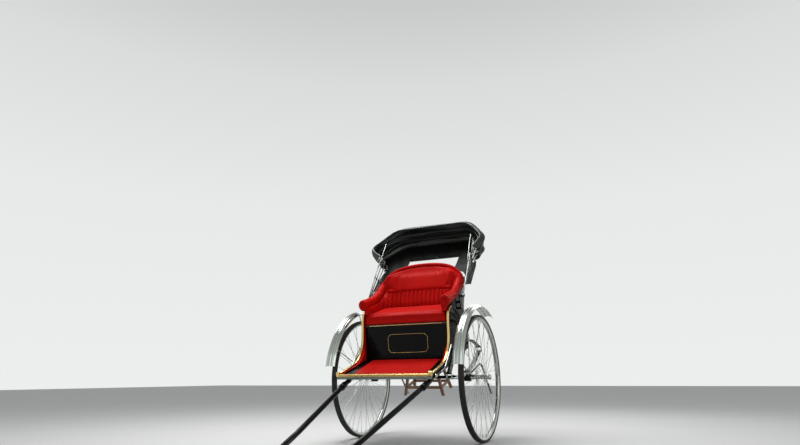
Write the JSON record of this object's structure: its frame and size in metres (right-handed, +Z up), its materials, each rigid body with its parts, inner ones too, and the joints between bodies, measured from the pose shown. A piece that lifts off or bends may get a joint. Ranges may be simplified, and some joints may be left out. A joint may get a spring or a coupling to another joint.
{
  "type": "pulled rickshaw",
  "caption": "Two-wheeled pulled rickshaw parked on its shafts, with a red seat, wire wheels, chrome mudguards, leaf springs and a half-folded black hood.",
  "frame": {"origin": "on the ground, under the middle of the bounding box of the parked rickshaw", "axes": "+X to the rickshaw's left, -Y forward to the pulling bar, +Z up"},
  "size_m": [1.338, 2.6088, 2.0262],
  "materials": {
    "rubber": "matte",
    "chrome": "polished",
    "bright_steel": "satin",
    "black_lacquer": "gloss lacquer",
    "black_iron": "gloss paint",
    "red_cloth": "soft upholstery",
    "gold_trim": "polished",
    "hood_cloth": "dull waxed cloth",
    "black_wood": "black lacquer",
    "brown_wood": "oiled"
  },
  "bodies": {
    "carriage": {"arm_rolls": "red_cloth", "axle": "black_iron", "back_panel": "black_lacquer", "boarding_stool": "brown_wood", "cross_members": "black_wood", "crossbar": "black_lacquer", "fender_stays": "chrome", "fenders": "chrome", "floor": "black_lacquer", "floor_mat": "red_cloth", "front_bar": "gold_trim", "gold_edges": "gold_trim", "gold_seat_trim": "gold_trim", "hood_posts": "black_iron", "kick_panel": "black_lacquer", "lower_springs": "chrome", "seat_back": "red_cloth", "seat_board": "black_wood", "seat_cushion": "red_cloth", "shaft_left": "black_lacquer", "shaft_right": "black_lacquer", "shaft_sockets": "black_iron", "side_linings": "red_cloth", "side_panels": "black_lacquer", "side_rails": "chrome", "sills": "black_wood", "spring_brackets": "black_iron", "spring_clamps": "black_iron", "spring_shackles": "chrome", "stool_hangers": "black_iron", "tip_props": "black_iron", "toe_plate": "bright_steel", "upper_springs": "black_iron"},
    "wheel_left": {"tyre_left": "rubber", "rim_left": "chrome", "spokes_left": "chrome", "hub_left": "chrome"},
    "wheel_right": {"tyre_right": "rubber", "rim_right": "chrome", "spokes_right": "chrome", "hub_right": "chrome"},
    "hood_rear": {"hood_bow_rear": "black_wood", "hood_irons_rear": "chrome", "hood_cloth_rear": "hood_cloth", "hood_curtain": "hood_cloth"},
    "hood_third": {"hood_bow_third": "black_wood", "hood_irons_third": "chrome", "hood_cloth_third": "hood_cloth"},
    "hood_second": {"hood_bow_second": "black_wood", "hood_irons_second": "chrome", "hood_cloth_second": "hood_cloth"},
    "hood_front": {"hood_bow_front": "black_wood", "hood_irons_front": "chrome"}
  },
  "joints": [
    {"name": "wheel_left_spin", "type": "hinge", "parent": "carriage", "child": "wheel_left", "pos_m": [0.582, 0.57653, 0.53], "axis": [1, 0, 0], "continuous": true},
    {"name": "wheel_right_spin", "type": "hinge", "parent": "carriage", "child": "wheel_right", "pos_m": [-0.582, 0.57653, 0.53], "axis": [1, 0, 0], "continuous": true},
    {"name": "hood_fold", "type": "hinge", "parent": "carriage", "child": "hood_rear", "pos_m": [0, 0.4675, 1.22865], "axis": [1, 0, 0], "range_deg": [-44, 10]},
    {"name": "hood_spread", "type": "hinge", "parent": "hood_rear", "child": "hood_third", "pos_m": [0, 0.4675, 1.22865], "axis": [1, 0, 0], "range_deg": [0, 20]},
    {"name": "hood_spread_second", "type": "hinge", "parent": "hood_third", "child": "hood_second", "pos_m": [0, 0.4675, 1.22865], "axis": [1, 0, 0], "range_deg": [0, 20]},
    {"name": "hood_spread_front", "type": "hinge", "parent": "hood_second", "child": "hood_front", "pos_m": [0, 0.4675, 1.22865], "axis": [1, 0, 0], "range_deg": [0, 20]}
  ],
  "couplings": [
    {"joint": "hood_spread_second", "follows": "hood_spread", "ratio": 1},
    {"joint": "hood_spread_front", "follows": "hood_spread", "ratio": 1}
  ]
}
